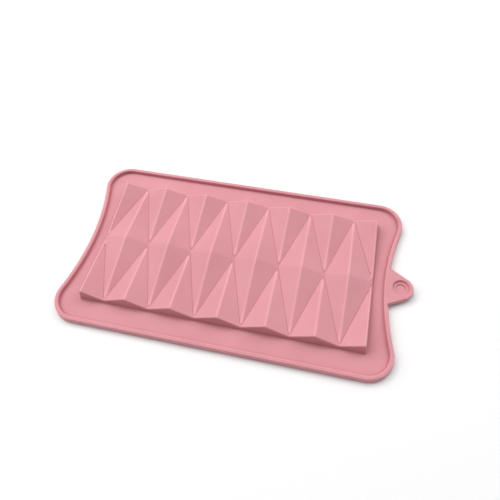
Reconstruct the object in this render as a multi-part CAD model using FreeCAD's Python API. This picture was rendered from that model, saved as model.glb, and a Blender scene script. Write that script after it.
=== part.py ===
import FreeCAD, Part
import math
import os

from FreeCAD import Vector

# One-piece silicone bar mould, lying with its open cavity down and the back of its
# faceted block up.  Millimetres.  X runs along the bar towards the hang tab, Y across
# it, Z up.  Z = 0 is the plane the mould rests on, and the origin is under the middle
# of the overall length and width.
#
# The real mould is one piece of rubber.  Each node here is one region of it, and
# neighbouring regions meet face to face.

# --- Driving dimensions -------------------------------------------------------------

# Faceted block
BAR_LENGTH = 160.0        # along the peaks of the long sides
BAR_WIDTH = 79.0          # across the peaks
DIAMONDS = 6              # whole diamonds along the bar
PEAK_RISE = 7.5           # peaks above the flange's top face
VALLEY_RISE = 2.3         # break lines above the flange's top face
DRAFT = 0.2               # outward run per unit of drop, on every outer wall
SKIN = 2.0                # facet thickness, measured straight down
WALL = 2.2                # side wall thickness, measured level

# Flange and its raised rim
FLANGE_THICKNESS = 1.8
FLANGE_MARGIN = 14.0      # foot of the block to the rim's outer top edge
WAIST_DEPTH = 5.6         # how far the short ends curve in at the middle
RIM_HEIGHT = 4.0          # rest plane to the top of the rim
RIM_WIDTH = 2.0           # flat top of the rim
RIM_INNER_RUN = 0.3       # slope of the rim's inner face, from top to foot

# Hang tab
TAB_CENTRE_X = 97.0       # centre of the rounded tip, from the middle of the block
TAB_TIP_RADIUS = 6.7
TAB_SIDE_ANGLE = 28.8     # degrees between each side and the X axis
TAB_THICKNESS = 2.6       # its top is level with the top of the rim
RECESS_RADIUS = 4.9
RECESS_FLOOR_RADIUS = 4.2
RECESS_DEPTH = 1.2
STEP_RADIUS = 2.9
STEP_DEPTH = 0.6

# --- Worked out from them -----------------------------------------------------------

PITCH = BAR_LENGTH / DIAMONDS
PEAK_Z = FLANGE_THICKNESS + PEAK_RISE
VALLEY_Z = FLANGE_THICKNESS + VALLEY_RISE
HALF_LENGTH = BAR_LENGTH / 2
HALF_WIDTH = BAR_WIDTH / 2
FOOT_X = HALF_LENGTH + DRAFT * PEAK_RISE
FOOT_Y = HALF_WIDTH + DRAFT * PEAK_RISE
RIM_OUTER_RUN = DRAFT * RIM_HEIGHT
RIM_FOOT = FLANGE_MARGIN - RIM_WIDTH - RIM_INNER_RUN
WAIST_X = FOOT_X + FLANGE_MARGIN - WAIST_DEPTH

# The waist is an arc of this radius, tangent to both corner arcs of its end.
WAIST_RADIUS = (
    (WAIST_X - FOOT_X) ** 2 + FOOT_Y ** 2 - FLANGE_MARGIN ** 2
) / (2 * WAIST_DEPTH)
WAIST_CENTRE_X = WAIST_X + WAIST_RADIUS
WAIST_ANGLE = math.degrees(math.asin(FOOT_Y / (WAIST_RADIUS + FLANGE_MARGIN)))

TAB_RUN = DRAFT * TAB_THICKNESS
TAB_END_X = TAB_CENTRE_X + TAB_TIP_RADIUS + TAB_RUN
RIM_END_X = FOOT_X + FLANGE_MARGIN + RIM_OUTER_RUN
ORIGIN_X = (TAB_END_X - RIM_END_X) / 2

UP = Vector(0, 0, 1)
CLEAR = 3.0               # how far cutting shapes stand past what they cut


# --- Helpers ------------------------------------------------------------------------

def flat_face(points):
    return Part.Face(Part.makePolygon(points + points[:1]))


def solid_from_faces(outlines):
    solid = Part.Solid(Part.makeShell([flat_face(outline) for outline in outlines]))
    solid.fix(1e-6, 1e-6, 1e-6)
    if solid.Volume < 0:
        solid.reverse()
    return solid


def prism(corners, low, high):
    """An upright prism over (x, y) corners."""
    base = flat_face([Vector(x, y, low) for x, y in corners])
    return base.extrude(Vector(0, 0, high - low))


def mirrored(shape, across):
    """The shape mirrored across the plane through the origin whose normal is given."""
    return shape.mirror(Vector(0, 0, 0), across)


# --- Faceted block ------------------------------------------------------------------

def grid_point(column, row):
    """
    A corner of the facets.  column runs from 0 to DIAMONDS in halves, and row is -1 on
    the front edge, 0 on the middle line and 1 on the back edge.  Peaks and low points
    alternate along each row, and the outer rows lie on the drafted walls.
    """
    on_whole_column = column == int(column)
    is_peak = on_whole_column if row else not on_whole_column
    z = PEAK_Z if is_peak else VALLEY_Z
    spread = DRAFT * (PEAK_Z - z)
    x = column * PITCH - HALF_LENGTH
    if column == 0:
        x -= spread
    if column == DIAMONDS:
        x += spread
    return Vector(x, row * (HALF_WIDTH + spread), z)


def half_columns():
    return [step / 2 for step in range(2 * DIAMONDS + 1)]


def facets():
    """Every triangular facet, as its three corners."""
    triangles = []
    for row in (-1, 1):
        for column in half_columns()[:-1]:
            after = column + 0.5
            if column == int(column):
                low, other_low = grid_point(column, 0), grid_point(after, row)
                peaks = grid_point(after, 0), grid_point(column, row)
            else:
                low, other_low = grid_point(column, row), grid_point(after, 0)
                peaks = grid_point(column, 0), grid_point(after, row)
            for peak in peaks:
                triangles.append([low, other_low, peak])
    return triangles


def faceted_block():
    """The block as a solid: facets on top, drafted walls, upright through the flange."""
    feet = {}
    for side_x in (-1, 1):
        for side_y in (-1, 1):
            feet[side_x, side_y] = Vector(side_x * FOOT_X, side_y * FOOT_Y, FLANGE_THICKNESS)
    outlines = facets()
    for row in (-1, 1):
        top = [grid_point(column, row) for column in half_columns()]
        outlines.append([feet[-1, row]] + top + [feet[1, row]])
    for side_x, column in ((-1, 0), (1, DIAMONDS)):
        top = [grid_point(column, row) for row in (-1, 0, 1)]
        outlines.append([feet[side_x, -1]] + top + [feet[side_x, 1]])
    outlines.append([feet[-1, -1], feet[1, -1], feet[1, 1], feet[-1, 1]])
    foot = Part.makeBox(
        2 * FOOT_X, 2 * FOOT_Y, FLANGE_THICKNESS, Vector(-FOOT_X, -FOOT_Y, 0)
    )
    return solid_from_faces(outlines).fuse(foot).removeSplitter()


def within_walls():
    """A tapered block whose sides are the inner faces of the walls."""
    levels = []
    for z in (-CLEAR, PEAK_Z + CLEAR):
        inset = DRAFT * (PEAK_Z - z) - WALL
        x = HALF_LENGTH + inset
        y = HALF_WIDTH + inset
        levels.append([Vector(-x, -y, z), Vector(x, -y, z), Vector(x, y, z), Vector(-x, y, z)])
    low, high = levels
    outlines = [low, high]
    for corner in range(4):
        following = (corner + 1) % 4
        outlines.append([low[corner], low[following], high[following], high[corner]])
    return solid_from_faces(outlines)


def hollow_block():
    """The block with its cavity, split into the walls and the faceted roof."""
    inside = within_walls()
    block = faceted_block()
    cavity = block.translated(Vector(0, 0, -SKIN)).common(inside)
    shell = block.cut(cavity)
    return shell.cut(inside), shell.common(inside)


def roof_nodes(roof):
    """The roof, cut along its break lines into whole, half and corner diamonds."""
    low, high = -CLEAR, PEAK_Z + CLEAR
    nodes = {}

    def region(name, corners):
        nodes[name] = roof.common(prism(corners, low, high))

    def plan(column, row):
        point = grid_point(column, row)
        return point.x, point.y

    for column in range(DIAMONDS):
        middle = column + 0.5
        corners = [plan(column, 0), plan(middle, -1), plan(column + 1, 0), plan(middle, 1)]
        region(f"diamond_{column + 1}", corners)
    for row, side in ((-1, "front"), (1, "back")):
        edge = row * (HALF_WIDTH + CLEAR)
        for column in range(1, DIAMONDS):
            before, after = plan(column - 0.5, row), plan(column + 0.5, row)
            corners = [before, (before[0], edge), (after[0], edge), after, plan(column, 0)]
            region(f"{side}_half_diamond_{column}", corners)
        for column, near, end in ((0, 0.5, "left"), (DIAMONDS, DIAMONDS - 0.5, "right")):
            beside, tip = plan(near, row), plan(column, 0)
            corner_x = math.copysign(HALF_LENGTH + CLEAR, tip[0])
            corners = [tip, (corner_x, tip[1]), (corner_x, edge), (beside[0], edge), beside]
            region(f"{side}_{end}_corner_diamond", corners)
    return nodes


def wall_nodes(walls):
    """The ring of walls, mitred at its corners."""
    low, high = -CLEAR, PEAK_Z + CLEAR
    reach = FOOT_Y + CLEAR
    ridge = FOOT_X - FOOT_Y
    front = prism(
        [(-ridge, 0), (-ridge - reach, -reach), (ridge + reach, -reach), (ridge, 0)], low, high
    )
    right = prism([(ridge, 0), (ridge + reach, -reach), (ridge + reach, reach)], low, high)
    return {
        "front_wall": walls.common(front),
        "back_wall": walls.common(mirrored(front, Vector(0, 1, 0))),
        "right_wall": walls.common(right),
        "left_wall": walls.common(mirrored(right, Vector(1, 0, 0))),
    }


# --- Flange and rim -----------------------------------------------------------------

def end_face(margin, z):
    """
    The level face between the right end of the block and a line that follows the
    flange's edge, margin beyond the foot of the block at the corners.
    """
    angle = math.radians(WAIST_ANGLE)
    half = math.radians(45 - WAIST_ANGLE / 2)
    waist = WAIST_RADIUS + FLANGE_MARGIN - margin

    def around_corner(turn, side):
        x = FOOT_X + margin * math.cos(turn)
        y = FOOT_Y + margin * math.sin(turn)
        return Vector(x, side * y, z)

    def corner_arc(side):
        turns = [math.pi / 2, half, -angle]
        return [around_corner(turn, side) for turn in turns]

    back = corner_arc(1)
    front = corner_arc(-1)
    middle = Vector(WAIST_CENTRE_X - waist, 0, z)
    edges = [
        Part.Arc(*back).toShape(),
        Part.Arc(back[-1], middle, front[-1]).toShape(),
        Part.Arc(*reversed(front)).toShape(),
        Part.makeLine(front[0], back[0]),
    ]
    return Part.Face(Part.Wire(edges))


def flange_nodes():
    right = end_face(RIM_FOOT, 0).extrude(Vector(0, 0, FLANGE_THICKNESS))
    front = Part.makeBox(
        2 * FOOT_X, RIM_FOOT, FLANGE_THICKNESS, Vector(-FOOT_X, -FOOT_Y - RIM_FOOT, 0)
    )
    return {
        "front_flange": front,
        "back_flange": mirrored(front, Vector(0, 1, 0)),
        "right_flange": right,
        "left_flange": mirrored(right, Vector(1, 0, 0)),
    }


def rim_section():
    """The rim's section as (distance beyond the foot of the block, height)."""
    return [
        (RIM_FOOT, 0),
        (FLANGE_MARGIN + RIM_OUTER_RUN, 0),
        (FLANGE_MARGIN, RIM_HEIGHT),
        (FLANGE_MARGIN - RIM_WIDTH, RIM_HEIGHT),
        (RIM_FOOT, FLANGE_THICKNESS),
    ]


def rim_nodes():
    straight = flat_face([Vector(-FOOT_X, -FOOT_Y - out, z) for out, z in rim_section()])
    front = straight.extrude(Vector(2 * FOOT_X, 0, 0))

    corner_profile = flat_face([Vector(FOOT_X, FOOT_Y + out, z) for out, z in rim_section()])
    corner = corner_profile.revolve(Vector(FOOT_X, FOOT_Y, 0), UP, -90 - WAIST_ANGLE)

    waist_centre = Vector(WAIST_CENTRE_X, 0, 0)
    at_middle = WAIST_X - FLANGE_MARGIN
    waist_profile = flat_face([Vector(at_middle + out, 0, z) for out, z in rim_section()])
    waist_profile.rotate(waist_centre, UP, -WAIST_ANGLE)
    waist = waist_profile.revolve(waist_centre, UP, 2 * WAIST_ANGLE)

    right = waist.fuse([corner, mirrored(corner, Vector(0, 1, 0))]).removeSplitter()
    return {
        "front_rim": front,
        "back_rim": mirrored(front, Vector(0, 1, 0)),
        "right_rim": right,
        "left_rim": mirrored(right, Vector(1, 0, 0)),
    }


# --- Hang tab -----------------------------------------------------------------------

def tab_outline(radius, z):
    """Two straight sides, tangent to the rounded tip, running back into the rim."""
    angle = math.radians(TAB_SIDE_ANGLE)
    root_x = WAIST_X - RIM_WIDTH / 3
    touch_x = TAB_CENTRE_X + radius * math.sin(angle)
    touch_y = radius * math.cos(angle)
    root_y = touch_y + (touch_x - root_x) * math.tan(angle)
    tip = Vector(TAB_CENTRE_X + radius, 0, z)
    back_root, back_touch = Vector(root_x, root_y, z), Vector(touch_x, touch_y, z)
    front_root, front_touch = Vector(root_x, -root_y, z), Vector(touch_x, -touch_y, z)
    return Part.Wire([
        Part.makeLine(front_root, front_touch),
        Part.Arc(front_touch, tip, back_touch).toShape(),
        Part.makeLine(back_touch, back_root),
        Part.makeLine(back_root, front_root),
    ])


def hang_tab(rim):
    """The tab, with the stepped blind recess in its top."""
    bottom = RIM_HEIGHT - TAB_THICKNESS
    outlines = [
        tab_outline(TAB_TIP_RADIUS + TAB_RUN, bottom),
        tab_outline(TAB_TIP_RADIUS, RIM_HEIGHT),
    ]
    plate = Part.makeLoft(outlines, True, True)
    recess_floor = RIM_HEIGHT - RECESS_DEPTH
    recess = Part.makeCone(
        RECESS_FLOOR_RADIUS, RECESS_RADIUS, RECESS_DEPTH, Vector(TAB_CENTRE_X, 0, recess_floor)
    )
    step = Part.makeCylinder(
        STEP_RADIUS, STEP_DEPTH, Vector(TAB_CENTRE_X, 0, recess_floor - STEP_DEPTH)
    )
    return plate.cut(rim).cut(recess).cut(step)


# --- Nodes --------------------------------------------------------------------------

walls, roof = hollow_block()
nodes = {}
nodes.update(roof_nodes(roof))
nodes.update(wall_nodes(walls))
nodes.update(flange_nodes())
nodes.update(rim_nodes())
nodes["hang_tab"] = hang_tab(nodes["right_rim"])

os.makedirs("parts", exist_ok=True)
for name, shape in nodes.items():
    solids = shape.Solids
    if len(solids) != 1 or not solids[0].isValid():
        raise RuntimeError(f"{name} is not one valid solid: {len(solids)} found")
    placed = solids[0].translated(Vector(-ORIGIN_X, 0, 0))
    placed.exportStep(f"parts/{name}.step")
    box = placed.BoundBox
    print(
        f"{name:28s} {placed.Volume:9.1f} mm3"
        f"  x {box.XMin:8.2f} {box.XMax:8.2f}"
        f"  y {box.YMin:7.2f} {box.YMax:7.2f}  z {box.ZMin:5.2f} {box.ZMax:5.2f}"
    )
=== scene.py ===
import math

import bmesh
import bpy
from mathutils import Matrix, Vector


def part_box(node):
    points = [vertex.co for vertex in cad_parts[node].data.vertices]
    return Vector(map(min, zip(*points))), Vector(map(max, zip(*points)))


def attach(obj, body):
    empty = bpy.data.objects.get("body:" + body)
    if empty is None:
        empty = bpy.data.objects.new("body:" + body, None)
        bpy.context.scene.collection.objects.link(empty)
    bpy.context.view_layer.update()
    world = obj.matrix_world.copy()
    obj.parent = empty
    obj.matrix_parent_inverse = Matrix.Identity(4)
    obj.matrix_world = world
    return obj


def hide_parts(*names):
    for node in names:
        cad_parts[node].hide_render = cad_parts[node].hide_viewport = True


# A one-piece silicone bar mould, lying cavity down.  The whole moulding is one seamless
# skin, so a single mesh stands for every CAD node.  Meshes are worked out in
# millimetres about the middle of the block, and placed in the frame in metres.

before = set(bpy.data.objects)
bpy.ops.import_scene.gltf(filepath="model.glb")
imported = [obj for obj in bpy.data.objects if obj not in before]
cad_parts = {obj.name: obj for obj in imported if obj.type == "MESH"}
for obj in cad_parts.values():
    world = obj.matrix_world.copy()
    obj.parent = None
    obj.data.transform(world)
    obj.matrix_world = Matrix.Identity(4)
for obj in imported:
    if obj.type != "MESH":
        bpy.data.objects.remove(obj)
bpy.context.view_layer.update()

MM = 0.001


# --- Sizes read from the frame, in millimetres ---------------------------------------

def node_box(node):
    low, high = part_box(node)
    return low / MM, high / MM


wall_low, wall_high = node_box("front_wall")
flange_low, flange_high = node_box("front_flange")
rim_low, rim_high = node_box("front_rim")
diamond_low, diamond_high = node_box("diamond_2")
tab_low, tab_high = node_box("hang_tab")

BLOCK_X = (wall_low.x + wall_high.x) / 2
FOOT_X = (wall_high.x - wall_low.x) / 2
FOOT_Y = -wall_low.y
FLANGE_TOP = flange_high.z
RIM_TOP = rim_high.z
PEAK_Z = diamond_high.z
PITCH = diamond_high.x - diamond_low.x
DIAMONDS = round(2 * FOOT_X / PITCH)
TAB_BOTTOM = tab_low.z
TAB_END_X = tab_high.x - BLOCK_X
RIM_FOOT = -flange_low.y - FOOT_Y
RIM_BOTTOM = -rim_low.y - FOOT_Y

# --- Sizes of the moulding that its nodes' boxes don't give, in millimetres ----------

DRAFT = 0.2               # outward run per unit of drop, on every outer wall
SKIN = 2.0                # facet thickness, straight down
WALL = 2.2                # side wall thickness, level
RIM_WIDTH = 2.0
WAIST_DEPTH = 5.6         # how far the short ends curve in
TAB_SIDE_ANGLE = math.radians(28.8)
TAB_CENTRE_X = 97.0
RECESS_RADIUS = 4.9
RECESS_FLOOR_RADIUS = 4.2
RECESS_DEPTH = 1.2
STEP_RADIUS = 2.9
STEP_DEPTH = 0.6

HALF_LENGTH = FOOT_X - DRAFT * (PEAK_Z - FLANGE_TOP)
HALF_WIDTH = FOOT_Y - DRAFT * (PEAK_Z - FLANGE_TOP)
VALLEY_Z = diamond_low.z + SKIN
RISE = PEAK_Z - VALLEY_Z
LOW_SPREAD = DRAFT * RISE          # the low points stand this much further out
RIM_MARGIN = RIM_BOTTOM - DRAFT * RIM_TOP
WAIST_X = FOOT_X + RIM_MARGIN - WAIST_DEPTH
WAIST_RADIUS = ((WAIST_X - FOOT_X) ** 2 + FOOT_Y ** 2 - RIM_MARGIN ** 2) / (2 * WAIST_DEPTH)
WAIST_CENTRE_X = WAIST_X + WAIST_RADIUS
WAIST_ANGLE = math.asin(FOOT_Y / (WAIST_RADIUS + RIM_MARGIN))
TAB_RUN = DRAFT * (RIM_TOP - TAB_BOTTOM)
TAB_TIP_RADIUS = TAB_END_X - TAB_CENTRE_X - TAB_RUN

# --- Softness of the moulded edges, in millimetres -----------------------------------

TOP_EDGE = 0.75
WALL_FOOT = 0.9
RIM_EDGE = 0.6
RIM_INNER_EDGE = 0.5
RIM_FOOT_ROUND = 0.5
UNDER_EDGE = 0.3
CAVITY_CORNER = 0.9
TAB_EDGE = 0.5
RECESS_EDGE = 0.18
RIDGE_SOFT = 0.85         # half width of the rounding over a steep ridge
CREST_SOFT = 1.0          # half width of the rounding over a shallow ridge
BREAK_SOFT = 0.32         # half width of the rounding in a break line
SQUARENESS = 10           # of the block's corners in plan: 2 is an arc

OUTER_INSET = 0.95        # from the peak line in to where the roof hands over to the edge
INNER_INSET = 3.3         # the same for the cavity
FLAT_LAP = 1.2            # flat strip carried past each fillet, before the flat is filled
TAB_ROOT = 1.25           # how far the tab's root reaches into the rim
TAB_LAP = 1.3 * TAB_EDGE  # how far in from the tab's edge its flats start

# --- How finely it is all divided ----------------------------------------------------

CORNER_STEPS = 14
ARC_STEPS = 8
SIDE_STEPS = 40
WAIST_STEPS = 24
ROW_STEPS = 10
HALVINGS = 40             # of the search for where a section leaves the roof
CELL_NEAR = 1e-5          # points closer than this are one, in the unit cell
PLAN_NEAR = 1e-3          # and in the plan, in millimetres
EDGE_NEAR = 0.01          # how close to a side a vertex counts as on it
MANY_SIDES = 4            # faces with more sides than this are cut into triangles

# --- Shading -------------------------------------------------------------------------

SHARP_FROM = math.radians(38)
NORMAL_WEIGHT = 50        # neutral: normals are weighted by face area alone
# Bends up to BEND_NONE are left unmarked, and those from BEND_FULL are marked in full.
# Outer bends carry a painted highlight, and inner bends painted shade.
BEND_NONE = math.radians(6.9)
BEND_FULL = math.radians(13)
WIDE_FACE = 6 * MM ** 2   # in square metres

# --- Colours and strengths of the silicone, and of its painted highlights and shade ---

TINT_LOW = (0.672, 0.294, 0.330)
TINT_HIGH = (0.718, 0.322, 0.358)
# Painted highlight: a lighter colour laid on the narrow outer bends of ridges, rims and edges.
BEND_HIGHLIGHT_COLOUR = (0.86, 0.43, 0.46)
BEND_HIGHLIGHT_STRENGTH = 0.75
# Painted shade: a darker colour laid in the narrow inner bends, along break lines and wall feet.
BEND_SHADE_COLOUR = (0.42, 0.11, 0.14)
BEND_SHADE_STRENGTH = 0.6
# Painted shade: a dark red laid into nooks, deeper the more the surface is hidden.
NOOK_SHADE_COLOUR = (0.36, 0.08, 0.10)
NOOK_SHADE_REACH = 0.005        # metres
NOOK_SHADE_FULL = 0.05          # openness at and below which a nook has the whole painted shade
NOOK_SHADE_NONE = 0.85          # and from which it has none
NOISE_LOW = 0.3           # the part of the noise's range that is spread out
NOISE_HIGH = 0.7


# --- The faceted roof ----------------------------------------------------------------

COLUMNS = [step * PITCH / 2 - HALF_LENGTH for step in range(2 * DIAMONDS + 1)]
COLUMNS[0] -= LOW_SPREAD
COLUMNS[-1] += LOW_SPREAD
ROW_REACH = HALF_WIDTH + LOW_SPREAD


def rounded(distance, soft):
    """The absolute distance, with its sharp bottom rounded within soft of zero."""
    distance = abs(distance)
    if distance >= soft:
        return distance
    return (distance * distance + soft * soft) / (2 * soft)


def column_share(x):
    """0 on a whole column's line and 1 on a half column's, and the width between them."""
    span = 0
    while span < len(COLUMNS) - 2 and x > COLUMNS[span + 1]:
        span += 1
    width = COLUMNS[span + 1] - COLUMNS[span]
    share = min(max((x - COLUMNS[span]) / width, 0), 1)
    return (1 - share if span % 2 else share), width


def roof_height(x, y):
    """
    Height of the outer roof: lowest where the two shares match, with ridges between.
    The ridges' roundings taper to nothing where break lines cross.
    """
    across, width = column_share(x)
    along = min(abs(y) / ROW_REACH, 1)
    at_end = abs(x) > HALF_LENGTH - PITCH / 2
    peak_across = LOW_SPREAD / width if at_end else 0
    crest = rounded(along, min(CREST_SOFT / ROW_REACH, across / 2))
    if across > 0.5:
        across = 1 - rounded(1 - across, min(RIDGE_SOFT / width, (1 - along) / 2))
    elif not at_end:
        across = rounded(across, min(RIDGE_SOFT / width, along / 2))
    difference = across - crest
    share = rounded(difference, BREAK_SOFT / width)
    if difference < 0:
        share /= HALF_WIDTH / ROW_REACH - peak_across
    return VALLEY_Z + RISE * min(share, 1)


def plan_cell():
    """One quarter diamond's plan, a unit square cut along every line where it bends."""
    cell = bmesh.new()
    cell.faces.new([cell.verts.new((x, y, 0)) for x, y in ((0, 0), (1, 0), (1, 1), (0, 1))])
    ridge = 2 * RIDGE_SOFT / PITCH
    crest = CREST_SOFT / ROW_REACH
    groove = 2 * BREAK_SOFT / PITCH
    cuts = [((place, 0, 0), (1, 0, 0)) for place in (ridge / 2, ridge, 1 - ridge, 1 - ridge / 2)]
    cuts += [((0, place, 0), (0, 1, 0)) for place in (crest / 2, crest)]
    cuts += [((0, step / ROW_STEPS, 0), (0, 1, 0)) for step in range(1, ROW_STEPS)]
    cuts += [((part * groove / 2, 0, 0), (1, -1, 0)) for part in (-2, -1, 0, 1, 2)]
    for place, normal in cuts:
        everything = cell.verts[:] + cell.edges[:] + cell.faces[:]
        bmesh.ops.bisect_plane(
            cell, geom=everything, dist=CELL_NEAR, plane_co=place, plane_no=normal
        )
    points = [tuple(vert.co.xy) for vert in cell.verts]
    cell.verts.index_update()
    faces = [[vert.index for vert in face.verts] for face in cell.faces]
    cell.free()
    return points, faces


def roof_plan(inset):
    """The whole roof's plan mesh, trimmed to a rectangle inset from the peak line."""
    points, faces = plan_cell()
    plan = bmesh.new()
    for span, (start, end) in enumerate(zip(COLUMNS, COLUMNS[1:])):
        if span % 2:
            start, end = end, start
        for side in (-1, 1):
            verts = [
                plan.verts.new((start + (end - start) * across, side * along * ROW_REACH, 0))
                for across, along in points
            ]
            for face in faces:
                plan.faces.new([verts[index] for index in face])
    bmesh.ops.remove_doubles(plan, verts=plan.verts, dist=PLAN_NEAR)
    half_x = HALF_LENGTH - inset
    half_y = HALF_WIDTH - inset
    for place, normal in (
        ((half_x, 0, 0), (1, 0, 0)),
        ((-half_x, 0, 0), (-1, 0, 0)),
        ((0, half_y, 0), (0, 1, 0)),
        ((0, -half_y, 0), (0, -1, 0)),
    ):
        everything = plan.verts[:] + plan.edges[:] + plan.faces[:]
        bmesh.ops.bisect_plane(
            plan, geom=everything, dist=PLAN_NEAR,
            plane_co=place, plane_no=normal, clear_outer=True,
        )
    many = [face for face in plan.faces if len(face.verts) > MANY_SIDES]
    bmesh.ops.triangulate(plan, faces=many)
    return plan


def add_roof(skin, inset, drop):
    """
    Add the roof, lowered by drop.  Returns a ring round its edge of (vertex, start,
    outward), in which each corner vertex is repeated with a fan of directions.
    """
    plan = roof_plan(inset)
    copies = {}
    for vert in plan.verts:
        height = roof_height(vert.co.x, vert.co.y) - drop
        copies[vert] = skin.verts.new((vert.co.x, vert.co.y, height))
    for face in plan.faces:
        skin.faces.new([copies[vert] for vert in face.verts])
    edge = [copies[vert] for vert in plan.verts if vert.is_boundary]
    plan.free()

    half_x = HALF_LENGTH - inset
    half_y = HALF_WIDTH - inset
    ring = []
    for side in (-1, 1):
        level = [vert for vert in edge if abs(vert.co.y - side * half_y) < EDGE_NEAR]
        upright = [vert for vert in edge if abs(vert.co.x + side * half_x) < EDGE_NEAR]
        level.sort(key=lambda vert: -side * vert.co.x)
        upright.sort(key=lambda vert: -side * vert.co.y)
        first = math.radians(90 * side)
        ring += [(vert, vert.co.xy, Vector((0, side))) for vert in level]
        ring += fan(level[-1], level[-1].co.xy, first)
        ring += [(vert, vert.co.xy, Vector((-side, 0))) for vert in upright]
        ring += fan(upright[-1], upright[-1].co.xy, first + math.pi / 2)
    return ring


def fan(vert, start, first):
    """
    The directions between two straight sides, all from one corner vertex.  They reach
    further near the middle, which makes the block's corner squarer than an arc.
    """
    turns = [first + math.pi / 2 * step / CORNER_STEPS for step in range(1, CORNER_STEPS)]
    ring = []
    for turn in turns:
        across, along = abs(math.cos(turn)), abs(math.sin(turn))
        reach = (across ** SQUARENESS + along ** SQUARENESS) ** (-1 / SQUARENESS)
        ring.append((vert, start, Vector((math.cos(turn), math.sin(turn))) * reach))
    return ring


# --- Sections ------------------------------------------------------------------------

def rounded_path(points):
    """
    A path through (out, height, radius) points with its middle corners rounded.  Every
    corner gives the same number of points, so that neighbouring paths can be joined.
    """
    path = [Vector(points[0][:2])]
    for before, corner, after in zip(points, points[1:], points[2:]):
        here = Vector(corner[:2])
        radius = corner[2]
        back = (Vector(before[:2]) - here).normalized()
        ahead = (Vector(after[:2]) - here).normalized()
        half = back.angle(ahead) / 2
        centre = here + (back + ahead).normalized() * radius / math.sin(half)
        start = here + back * radius / math.tan(half) - centre
        end = here + ahead * radius / math.tan(half) - centre
        first = math.atan2(start.y, start.x)
        turn = math.atan2(end.y, end.x) - first
        turn = (turn + math.pi) % (2 * math.pi) - math.pi
        for step in range(ARC_STEPS + 1):
            angle = first + turn * step / ARC_STEPS
            path.append(centre + Vector((math.cos(angle), math.sin(angle))) * radius)
    path.append(Vector(points[-1][:2]))
    return path


def wall_path(start, outward, inset, drop, edge, foot_height, foot):
    """Off the roof, down the wall and on to a flat, along one section."""
    def wall_out(height):
        return inset + DRAFT * (PEAK_Z - height) - (WALL if drop else 0)

    def height_at(out):
        place = start + outward * out
        return roof_height(place.x, place.y) - drop

    near, far = 0.0, inset + 2 * LOW_SPREAD
    for _ in range(HALVINGS):
        out = (near + far) / 2
        if out < wall_out(height_at(out)):
            near = out
        else:
            far = out
    bottom = wall_out(foot_height)
    return rounded_path([
        (0, height_at(0)),
        (near, height_at(near), edge),
        (bottom, foot_height, foot),
        (bottom + FLAT_LAP, foot_height),
    ])


def join_rows(skin, rows):
    """Faces between neighbouring rows of a closed ring of rows."""
    for here, there in zip(rows, rows[1:] + rows[:1]):
        for k in range(len(here) - 1):
            corners = []
            for vert in (here[k], there[k], there[k + 1], here[k + 1]):
                if vert not in corners:
                    corners.append(vert)
            if len(corners) > 2:
                skin.faces.new(corners)


def loop_edges(loop):
    """The edges between neighbouring vertices of a closed loop."""
    edges = []
    for here, there in zip(loop, loop[1:] + loop[:1]):
        edges += [edge for edge in here.link_edges if edge.other_vert(here) is there]
    return edges


def add_walls(skin, ring, inset, drop, edge, foot_height, foot):
    """Walls round the roof.  Returns the loop where they have run out on to the flat."""
    rows = []
    for vert, start, outward in ring:
        path = wall_path(start, outward, inset, drop, edge, foot_height, foot)
        row = [vert]
        for out, height in path[1:]:
            place = start + outward * out
            row.append(skin.verts.new((place.x, place.y, height)))
        rows.append(row)
    join_rows(skin, rows)
    return [row[-1] for row in rows]


# --- The rim and the flange ----------------------------------------------------------

def outline():
    """The rim's outer top edge, as points with the direction straight out at each."""
    edge_y = FOOT_Y + RIM_MARGIN
    half = []
    for step in range(SIDE_STEPS):
        x = FOOT_X * (2 * step / SIDE_STEPS - 1)
        half.append((Vector((x, -edge_y)), Vector((0, -1))))
    waist_centre = Vector((WAIST_CENTRE_X, 0))
    for centre, radius, first, last, steps in (
        (Vector((FOOT_X, -FOOT_Y)), RIM_MARGIN, -math.pi / 2, WAIST_ANGLE, CORNER_STEPS),
        (waist_centre, -WAIST_RADIUS, WAIST_ANGLE, -WAIST_ANGLE, WAIST_STEPS),
        (Vector((FOOT_X, FOOT_Y)), RIM_MARGIN, -WAIST_ANGLE, math.pi / 2, CORNER_STEPS),
    ):
        for step in range(steps):
            angle = first + (last - first) * step / steps
            outward = Vector((math.cos(angle), math.sin(angle)))
            half.append((centre + outward * radius, outward))
    return half + [(-place, -outward) for place, outward in half]


def add_rim(skin):
    """The rim's whole section, swept round.  Returns its inner and underside loops."""
    foot = RIM_FOOT - RIM_MARGIN
    bottom = RIM_BOTTOM - RIM_MARGIN
    path = rounded_path([
        (foot - FLAT_LAP, FLANGE_TOP),
        (foot, FLANGE_TOP, RIM_FOOT_ROUND),
        (-RIM_WIDTH, RIM_TOP, RIM_INNER_EDGE),
        (0, RIM_TOP, RIM_EDGE),
        (bottom, 0, UNDER_EDGE),
        (bottom - FLAT_LAP, 0),
    ])
    rows = []
    for place, outward in outline():
        row = []
        for out, height in path:
            spot = place + outward * out
            row.append(skin.verts.new((spot.x, spot.y, height)))
        rows.append(row)
    join_rows(skin, rows)
    return [row[0] for row in rows], [row[-1] for row in rows]


def fill_between(skin, loop, other):
    """A flat filling between two closed loops, one inside the other."""
    bmesh.ops.triangle_fill(
        skin, edges=loop_edges(loop) + loop_edges(other), use_beauty=True, normal=(0, 0, 1)
    )


def finished_mesh(build, name):
    """The built surface as a mesh in the frame, in metres, with its faces turned out."""
    for vert in build.verts:
        vert.co = Vector((vert.co.x + BLOCK_X, vert.co.y, vert.co.z)) * MM
    bmesh.ops.recalc_face_normals(build, faces=build.faces)
    mesh = bpy.data.meshes.new(name)
    build.to_mesh(mesh)
    build.free()
    made = bpy.data.objects.new(name, mesh)
    bpy.context.scene.collection.objects.link(made)
    return made


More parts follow.
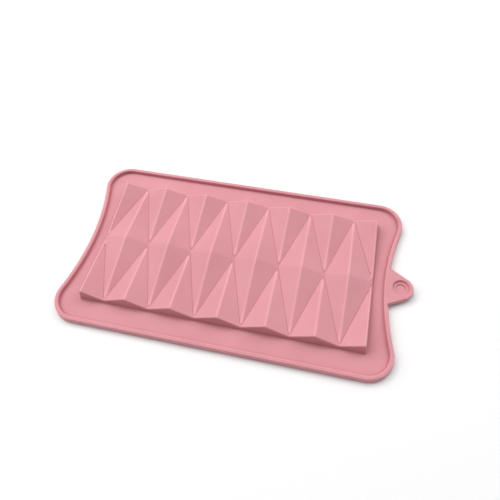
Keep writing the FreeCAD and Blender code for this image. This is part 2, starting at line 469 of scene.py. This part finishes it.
def moulding():
    """Block, cavity, flange and rim as one closed surface."""
    skin = bmesh.new()
    ring = add_roof(skin, OUTER_INSET, 0)
    block_foot = add_walls(skin, ring, OUTER_INSET, 0, TOP_EDGE, FLANGE_TOP, WALL_FOOT)
    inner_ring = add_roof(skin, INNER_INSET, SKIN)
    mouth = add_walls(skin, inner_ring, INNER_INSET, SKIN, CAVITY_CORNER, 0, UNDER_EDGE)
    rim_foot, rim_underside = add_rim(skin)
    fill_between(skin, block_foot, rim_foot)
    fill_between(skin, mouth, rim_underside)
    return finished_mesh(skin, "mould_skin")


# --- The hang tab --------------------------------------------------------------------

def tab_ring(skin, grow, height):
    """The tab's outline, grown outward by a little, at one height."""
    radius = TAB_TIP_RADIUS + grow
    root_x = WAIST_X - TAB_ROOT - grow
    reach = math.pi / 2 - TAB_SIDE_ANGLE
    steps = 2 * CORNER_STEPS
    arc = []
    for step in range(steps + 1):
        angle = reach * (2 * step / steps - 1)
        arc.append((TAB_CENTRE_X + radius * math.cos(angle), radius * math.sin(angle)))
    touch_x, touch_y = arc[-1]
    root_y = touch_y + (touch_x - root_x) * math.tan(TAB_SIDE_ANGLE)
    places = [(root_x, -root_y)] + arc + [(root_x, root_y)]
    return [skin.verts.new((x, y, height)) for x, y in places]


def recess_ring(skin, radius, height):
    steps = 3 * CORNER_STEPS
    turns = [2 * math.pi * step / steps for step in range(steps)]
    return [
        skin.verts.new((TAB_CENTRE_X + radius * math.cos(turn), radius * math.sin(turn), height))
        for turn in turns
    ]


def hang_tab():
    """The tab with its stepped blind recess, as its own closed surface."""
    skin = bmesh.new()
    sides = rounded_path([
        (-TAB_LAP, RIM_TOP),
        (0, RIM_TOP, TAB_EDGE),
        (TAB_RUN, TAB_BOTTOM, TAB_EDGE),
        (-TAB_LAP, TAB_BOTTOM),
    ])
    rings = [tab_ring(skin, grow, height) for grow, height in sides]
    join_rows(skin, [list(row) for row in zip(*rings)])
    skin.faces.new(rings[-1])
    floor = RIM_TOP - RECESS_DEPTH
    hollow = rounded_path([
        (RECESS_RADIUS + 2 * RECESS_EDGE, RIM_TOP),
        (RECESS_RADIUS, RIM_TOP, RECESS_EDGE),
        (RECESS_FLOOR_RADIUS, floor, RECESS_EDGE),
        (STEP_RADIUS, floor, RECESS_EDGE),
        (STEP_RADIUS, floor - STEP_DEPTH, RECESS_EDGE),
        (STEP_RADIUS / 2, floor - STEP_DEPTH),
    ])
    hollows = [recess_ring(skin, radius, height) for radius, height in hollow]
    join_rows(skin, [list(row) for row in zip(*hollows)])
    skin.faces.new(hollows[-1])
    fill_between(skin, rings[0], hollows[0])
    return finished_mesh(skin, "mould_tab")


def united(body, added):
    """The body with the added piece merged into it as one surface."""
    union = body.modifiers.new("union", "BOOLEAN")
    union.operation = "UNION"
    union.solver = "EXACT"
    union.object = added
    whole = bpy.data.meshes.new_from_object(
        body.evaluated_get(bpy.context.evaluated_depsgraph_get())
    )
    body.modifiers.clear()
    body.data = whole
    bpy.data.objects.remove(added)
    return body


def smooth_shaded(piece):
    """Smooth shading that keeps flats flat and the few true corners crisp."""
    piece.data.polygons.foreach_set("use_smooth", [True] * len(piece.data.polygons))
    piece.data.set_sharp_from_angle(angle=SHARP_FROM)
    weighted = piece.modifiers.new("weighted", "WEIGHTED_NORMAL")
    weighted.keep_sharp = True
    weighted.weight = NORMAL_WEIGHT
    return piece


def mark_bends(piece):
    """
    Store at each vertex how far it is on an outer bend, the mask for a painted highlight,
    and on an inner one, the mask for painted shade.  Vertices of wide faces are left out,
    so that a mark stays on its own narrow rounding.
    """
    build = bmesh.new()
    build.from_mesh(piece.data)
    outer = build.verts.layers.float.new("bend_highlight_mask")
    inner = build.verts.layers.float.new("bend_shade_mask")
    for edge in build.edges:
        if len(edge.link_faces) != 2:
            continue
        angle = edge.calc_face_angle_signed(0)
        layer = outer if angle > 0 else inner
        share = min(max((abs(angle) - BEND_NONE) / (BEND_FULL - BEND_NONE), 0), 1)
        for vert in edge.verts:
            if max(face.calc_area() for face in vert.link_faces) < WIDE_FACE:
                vert[layer] = max(vert[layer], share)
    build.to_mesh(piece.data)
    build.free()
    return piece


# --- The silicone --------------------------------------------------------------------

def silicone():
    """Matte pink silicone: faintly mottled, finely grained and a little translucent, with
    painted highlights on its outer bends and painted shade in its inner bends and nooks.
    """
    material = bpy.data.materials.new("pink_silicone")
    material.use_nodes = True
    nodes = material.node_tree.nodes
    link = material.node_tree.links.new
    shader = nodes["Principled BSDF"]
    place = nodes.new("ShaderNodeTexCoord")

    def noise(scale, detail, roughness=0.5):
        made = nodes.new("ShaderNodeTexNoise")
        made.inputs["Scale"].default_value = scale
        made.inputs["Detail"].default_value = detail
        made.inputs["Roughness"].default_value = roughness
        link(place.outputs["Object"], made.inputs["Vector"])
        return made.outputs["Fac"]

    def spread(value, low, high):
        made = nodes.new("ShaderNodeMapRange")
        made.inputs["From Min"].default_value = NOISE_LOW
        made.inputs["From Max"].default_value = NOISE_HIGH
        made.inputs["To Min"].default_value = low
        made.inputs["To Max"].default_value = high
        link(value, made.inputs["Value"])
        return made.outputs["Result"]

    mottle = noise(scale=38, detail=3)
    tint = nodes.new("ShaderNodeMix")
    tint.data_type = "RGBA"
    tint.inputs["A"].default_value = (*TINT_LOW, 1)
    tint.inputs["B"].default_value = (*TINT_HIGH, 1)
    link(spread(mottle, low=0, high=1), tint.inputs["Factor"])

    def shaded(colour, amount, towards):
        """The colour, taken part of the way towards another."""
        made = nodes.new("ShaderNodeMix")
        made.data_type = "RGBA"
        made.inputs["B"].default_value = (*towards, 1)
        link(colour, made.inputs["A"])
        link(amount, made.inputs["Factor"])
        return made.outputs["Result"]

    def bend(name, strength):
        stored = nodes.new("ShaderNodeAttribute")
        stored.attribute_name = name
        scaled = nodes.new("ShaderNodeMath")
        scaled.operation = "MULTIPLY"
        scaled.inputs[1].default_value = strength
        link(stored.outputs["Fac"], scaled.inputs[0])
        return scaled.outputs["Value"]

    # Painted shade in nooks, from how hidden each point is.
    nook = nodes.new("ShaderNodeAmbientOcclusion")
    nook.samples = 8
    nook.inputs["Distance"].default_value = NOOK_SHADE_REACH
    hidden = nodes.new("ShaderNodeMapRange")
    hidden.inputs["From Min"].default_value = NOOK_SHADE_FULL
    hidden.inputs["From Max"].default_value = NOOK_SHADE_NONE
    hidden.inputs["To Min"].default_value = 1
    hidden.inputs["To Max"].default_value = 0
    link(nook.outputs["AO"], hidden.inputs["Value"])
    outer = bend("bend_highlight_mask", BEND_HIGHLIGHT_STRENGTH)
    inner = bend("bend_shade_mask", BEND_SHADE_STRENGTH)
    # Painted highlight on the outer bends.
    colour = shaded(tint.outputs["Result"], outer, BEND_HIGHLIGHT_COLOUR)
    # Painted shade in the inner bends.
    colour = shaded(colour, inner, BEND_SHADE_COLOUR)
    # Painted shade in the nooks.
    colour = shaded(colour, hidden.outputs["Result"], NOOK_SHADE_COLOUR)
    link(colour, shader.inputs["Base Color"])
    unevenness = noise(scale=160, detail=4)
    link(spread(unevenness, low=0.5, high=0.6), shader.inputs["Roughness"])
    shader.inputs["IOR"].default_value = 1.41
    shader.inputs["Specular IOR Level"].default_value = 0.25
    shader.inputs["Subsurface Weight"].default_value = 0.3
    shader.inputs["Subsurface Radius"].default_value = (1.0, 0.36, 0.32)
    shader.inputs["Subsurface Scale"].default_value = 0.0007
    shader.inputs["Sheen Weight"].default_value = 0.05
    shader.inputs["Sheen Roughness"].default_value = 0.4

    swell = nodes.new("ShaderNodeBump")
    swell.inputs["Strength"].default_value = 0.25
    swell.inputs["Distance"].default_value = 0.0004
    link(noise(scale=55, detail=2), swell.inputs["Height"])
    grain = nodes.new("ShaderNodeBump")
    grain.inputs["Strength"].default_value = 0.3
    grain.inputs["Distance"].default_value = 0.00006
    link(noise(scale=1500, detail=3, roughness=0.6), grain.inputs["Height"])
    link(swell.outputs["Normal"], grain.inputs["Normal"])
    link(grain.outputs["Normal"], shader.inputs["Normal"])
    return material


def plain(name, colour, roughness):
    material = bpy.data.materials.new(name)
    material.use_nodes = True
    shader = material.node_tree.nodes["Principled BSDF"]
    shader.inputs["Base Color"].default_value = (*colour, 1)
    shader.inputs["Roughness"].default_value = roughness
    shader.inputs["Specular IOR Level"].default_value = 0.2
    return material


mould = smooth_shaded(mark_bends(united(moulding(), hang_tab())))
mould.name = "mould_skin"
mould.data.materials.clear()
mould.data.materials.append(silicone())
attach(mould, "root")
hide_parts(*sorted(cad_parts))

# --- Floor, lights and camera, in metres ---------------------------------------------

FLOOR_SIDE = 5.0
FLOOR_DEPTH = 0.02
FLOOR_GAP = 0.0001
FLOOR_WHITE = 0.96
WORLD_STRENGTH = 0.3
SOFTBOX_SIDE = 1.0
SOFTBOX_DISTANCE = 1.4

bpy.ops.mesh.primitive_cube_add(size=1)
floor = bpy.context.object
floor.name = "studio_floor"
floor.scale = (FLOOR_SIDE, FLOOR_SIDE, FLOOR_DEPTH)
floor.location = (0, 0, -FLOOR_DEPTH / 2 - FLOOR_GAP)
floor.data.materials.append(plain("floor_white", [FLOOR_WHITE] * 3, roughness=0.9))

world = bpy.data.worlds.new("studio")
bpy.context.scene.world = world
world.use_nodes = True
background = world.node_tree.nodes["Background"]
background.inputs["Color"].default_value = (1, 1, 1, 1)
background.inputs["Strength"].default_value = WORLD_STRENGTH


def softbox(name, direction, power):
    """A square area light, shining at the mould from the given direction."""
    data = bpy.data.lights.new(name, "AREA")
    data.shape = "SQUARE"
    data.size = SOFTBOX_SIDE
    data.energy = power
    lamp = bpy.data.objects.new(name, data)
    bpy.context.scene.collection.objects.link(lamp)
    toward = Vector(direction).normalized()
    lamp.location = toward * SOFTBOX_DISTANCE
    lamp.rotation_euler = toward.to_track_quat("Z", "Y").to_euler()
    return lamp


softbox("left_softbox", direction=(-1, 0, 0.7), power=7.2)
softbox("back_left_softbox", direction=(-0.7, 0.7, 1.5), power=10.4)
softbox("back_right_softbox", direction=(0.7, 0.7, 0.9), power=8.2)

# The camera looks at AIM: millimetres from the block's middle, and up from the floor.
AIM = Vector((7.9, 9.05, FLANGE_TOP))
CAMERA_DISTANCE = 269.4   # millimetres
CAMERA_AZIMUTH = math.radians(-16.2)
CAMERA_ELEVATION = math.radians(59.9)
CAMERA_ROLL = math.radians(-4.52)
LENS = 32.17
SENSOR = 36
NEAR_CLIP = 0.01


def place_camera():
    level = math.cos(CAMERA_ELEVATION)
    forward = Vector((
        math.sin(CAMERA_AZIMUTH) * level,
        math.cos(CAMERA_AZIMUTH) * level,
        -math.sin(CAMERA_ELEVATION),
    ))
    right = Vector((math.cos(CAMERA_AZIMUTH), -math.sin(CAMERA_AZIMUTH), 0))
    right = right * math.cos(CAMERA_ROLL) + right.cross(forward) * math.sin(CAMERA_ROLL)
    turned = Matrix((right, right.cross(forward), -forward)).transposed().to_4x4()
    spot = (AIM + Vector((BLOCK_X, 0, 0)) - forward * CAMERA_DISTANCE) * MM
    data = bpy.data.cameras.new("photo_camera")
    data.lens = LENS
    data.sensor_width = SENSOR
    data.clip_start = NEAR_CLIP
    camera = bpy.data.objects.new("photo_camera", data)
    bpy.context.scene.collection.objects.link(camera)
    camera.matrix_world = Matrix.Translation(spot) @ turned
    bpy.context.scene.camera = camera


place_camera()
bpy.context.scene.view_settings.view_transform = "Standard"
